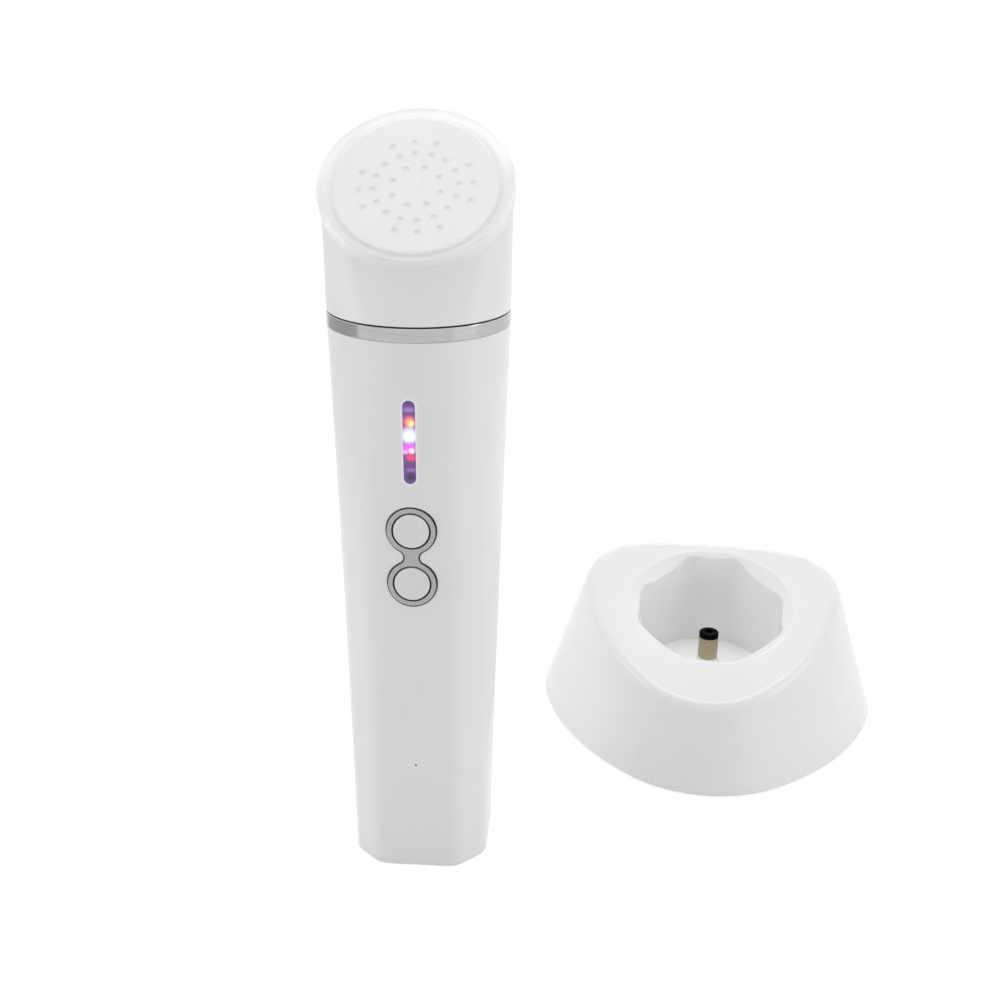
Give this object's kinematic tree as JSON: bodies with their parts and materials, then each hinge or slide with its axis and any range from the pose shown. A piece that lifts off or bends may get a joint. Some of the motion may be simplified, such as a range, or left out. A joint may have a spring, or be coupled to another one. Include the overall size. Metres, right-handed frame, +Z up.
{
  "type": "facial massager",
  "caption": "Hot and cold facial massager: tapered handset with slanted round head, frosted cap, two push buttons and light bar, with its slanted charging dock.",
  "frame": {"origin": "middle of the mouth of the charging socket in the handset's foot, at the level of the table that the handset and the dock stand on", "axes": "+Z up along the handset's axis; the handset's buttons face -Y; the dock stands to the right (+X) and behind (+Y)"},
  "size_m": [0.1441, 0.1246, 0.1737],
  "materials": {
    "white_shell": "satin injection-moulded ABS",
    "white_inner": "moulded",
    "band_chrome": "polished",
    "bezel_metal": "satin plated",
    "button_white": "satin",
    "lens_violet": "tinted translucent",
    "cap_frosted": "frosted translucent",
    "plate_white": "white coated aluminium",
    "seal_white": "silicone",
    "board_green": "glass-fibre laminate",
    "board_white": "white coated laminate",
    "chip_black": "moulded",
    "switch_black": "moulded",
    "lamp_clear": "clear",
    "contact_brass": "bright",
    "contact_nickel": "nickel plated",
    "screw_steel": "zinc plated",
    "cell_wrap": "shrink sleeve",
    "motor_steel": "plated can",
    "weight_steel": "sintered",
    "sleeve_rubber": "soft",
    "pad_grey": "thermal silicone",
    "module_white": "alumina",
    "sink_aluminium": "extruded",
    "tip_black": "moulded",
    "foot_rubber": "soft",
    "lead_black": "sheathed",
    "lead_red": "sheathed"
  },
  "bodies": {
    "dock": {"dock_shell": "white_shell", "dock_base": "white_inner", "dock_screws": "screw_steel", "dock_feet": "foot_rubber", "plug_holder": "white_shell", "holder_screws": "screw_steel", "plug_sleeve": "contact_nickel", "plug_tip": "tip_black", "plug_contact": "contact_brass", "dock_inlet": "tip_black", "inlet_pin": "contact_brass", "dock_lead": "lead_black"},
    "handset": {"body_shell": "white_shell", "base_cap": "white_shell", "base_screws": "screw_steel", "charging_socket": "tip_black", "socket_pin": "contact_brass", "button_bezel": "bezel_metal", "upper_switch": "switch_black", "lower_switch": "switch_black", "indicator_lens": "lens_violet", "indicator_lamps": "lamp_clear", "main_board": "board_green", "board_screws": "screw_steel", "board_chips": "chip_black", "battery_cell": "cell_wrap", "battery_tabs": "contact_nickel", "battery_tray": "white_inner", "neck_band": "band_chrome", "neck_frame": "switch_black", "head_screws": "screw_steel", "vibration_motor": "motor_steel", "motor_sleeve": "sleeve_rubber", "head_shell": "white_shell", "treatment_plate": "plate_white", "face_seal": "seal_white", "lamp_board": "board_white", "face_lamps": "lamp_clear", "thermoelectric_module": "module_white", "thermal_pads": "pad_grey", "heat_sink": "sink_aluminium", "sink_screws": "screw_steel", "temperature_sensor": "chip_black", "socket_lead": "lead_black", "battery_lead": "lead_red", "motor_lead": "lead_black", "lamp_lead": "lead_black", "module_lead": "lead_red"},
    "cap": {"protective_cap": "cap_frosted"},
    "upper_push": {"upper_button": "button_white", "upper_plunger": "switch_black"},
    "lower_push": {"lower_button": "button_white", "lower_plunger": "switch_black"},
    "rotor": {"motor_shaft": "motor_steel", "eccentric_weight": "weight_steel"}
  },
  "joints": [
    {"name": "handset_lift", "type": "slide", "parent": "dock", "child": "handset", "axis": [0, 0, 1], "range_m": [0, 0.06]},
    {"name": "cap_pull", "type": "slide", "parent": "handset", "child": "cap", "axis": [0, -0.6639, 0.7478], "range_m": [0, 0.015]},
    {"name": "upper_button_press", "type": "slide", "parent": "handset", "child": "upper_push", "axis": [0, 0.9995, 0.0307], "range_m": [0, 0.0005], "stiffness_N_per_m": 2500, "springref_m": -0.0004},
    {"name": "lower_button_press", "type": "slide", "parent": "handset", "child": "lower_push", "axis": [0, 0.9995, 0.0307], "range_m": [0, 0.0005], "stiffness_N_per_m": 2500, "springref_m": -0.0004},
    {"name": "motor_spin", "type": "hinge", "parent": "handset", "child": "rotor", "pos_m": [0, 0.002, 0.128], "axis": [0, 0, 1], "continuous": true}
  ]
}
